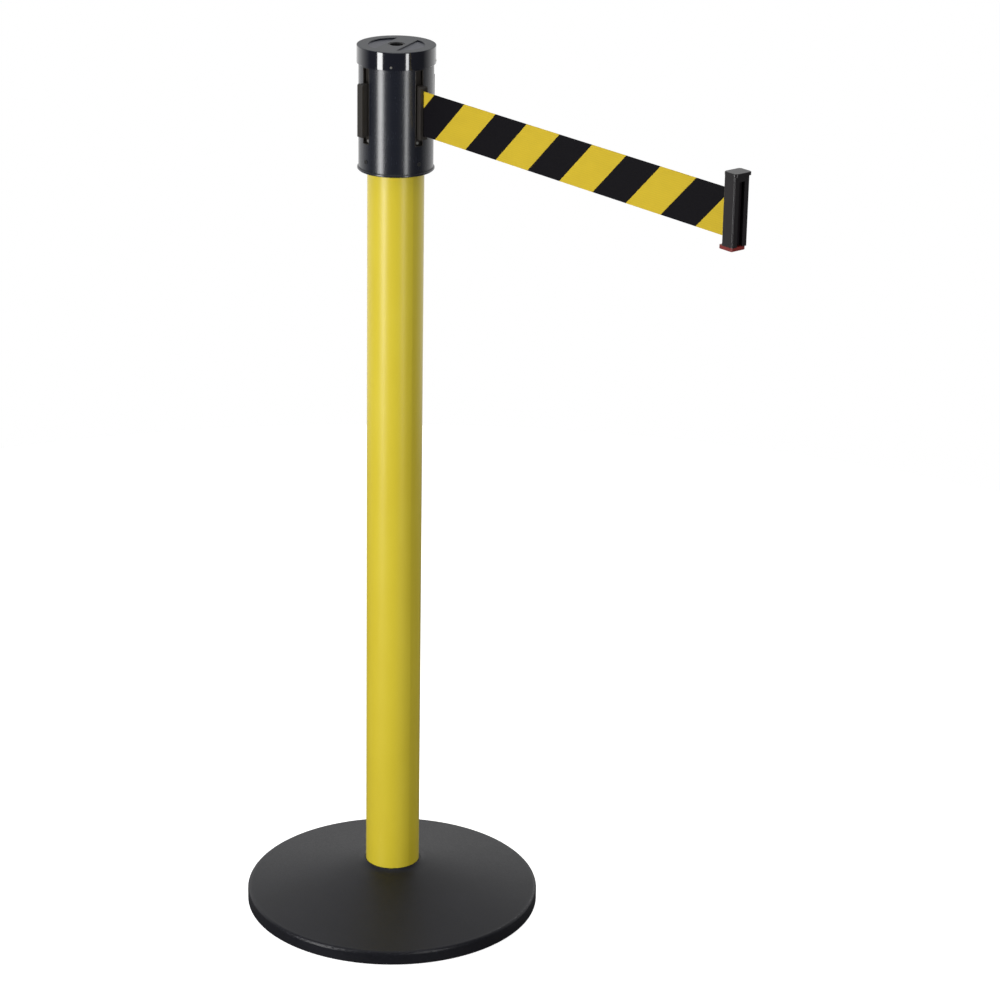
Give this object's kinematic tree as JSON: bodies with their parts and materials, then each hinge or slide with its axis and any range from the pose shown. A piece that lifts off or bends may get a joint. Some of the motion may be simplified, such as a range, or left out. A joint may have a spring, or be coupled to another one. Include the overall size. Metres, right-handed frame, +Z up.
{
  "type": "retractable belt barrier post",
  "caption": "Retractable-belt barrier post: weighted round base, tube, belt cassette head with receiver rails, striped webbing belt and belt-end clip with lock.",
  "frame": {"origin": "on the floor at the post's axis", "axes": "+Z up along the post, +X the way the belt is pulled out of the head"},
  "size_m": [0.7302, 0.348, 1.0464],
  "materials": {
    "black_gloss": "glossy injection-moulded ABS, blue-black",
    "black_satin": "satin black plastic with a fine texture",
    "clip_black": "semi-gloss black plastic",
    "insert_grey": "matt dark grey plastic",
    "yellow_paint": "gloss lemon-yellow powder coat",
    "belt_web": "woven polyester webbing, yellow with black diagonal stripes",
    "lock_red": "dark red plastic",
    "cast": "painted rough casting",
    "rubber": "matt black rubber",
    "zinc": "bright zinc-plated steel",
    "steel": "plain steel",
    "spring_steel": "blued spring steel",
    "acetal": "natural white acetal"
  },
  "bodies": {
    "post": {"floor_ring": "rubber", "base_weight": "cast", "base_cover": "black_satin", "base_bolt": "zinc", "base_washer": "zinc", "post_tube": "yellow_paint", "bottom_plug": "black_satin", "top_plug": "black_satin", "head_collar": "black_gloss", "head_housing": "black_gloss", "housing_screws": "zinc", "cap_screws": "zinc", "rail_screws": "zinc", "cassette_base": "insert_grey", "head_screws": "zinc", "cassette_pillars": "steel", "cassette_top": "insert_grey", "pillar_screws": "zinc", "guide_pins": "steel", "spindle": "steel", "spindle_circlip": "spring_steel", "spring_arbor": "acetal", "belt_exit_rail": "insert_grey", "receiver_rail_right": "insert_grey", "receiver_rail_rear": "insert_grey", "receiver_rail_left": "insert_grey", "cap": "black_gloss", "sign_socket": "insert_grey"},
    "spool": {"spool": "acetal", "spool_bush_lower": "acetal", "spool_bush_upper": "acetal", "belt_roll": "belt_web", "spring_case": "insert_grey", "spring_case_lid": "insert_grey", "power_spring": "spring_steel"},
    "belt_end": {"belt": "belt_web", "clip_body": "clip_black", "clip_cap": "clip_black", "belt_pin": "steel"},
    "belt_lock": {"lock_slider": "lock_red"}
  },
  "joints": [
    {"name": "belt_pull", "type": "slide", "parent": "post", "child": "belt_end", "axis": [1, 0, 0], "range_m": [-0.488, 1.6], "deforming": ["belt"]},
    {"name": "spool_spin", "type": "hinge", "parent": "post", "child": "spool", "pos_m": [0, 0, 0.978], "axis": [0, 0, 1], "range_deg": [-5040, 1620], "deforming": ["power_spring"]},
    {"name": "lock_slide", "type": "slide", "parent": "belt_end", "child": "belt_lock", "axis": [1, 0, 0], "range_m": [-0.0036, 0]}
  ],
  "couplings": [
    {"joint": "spool_spin", "follows": "belt_pull", "rad_per_m": -54}
  ]
}
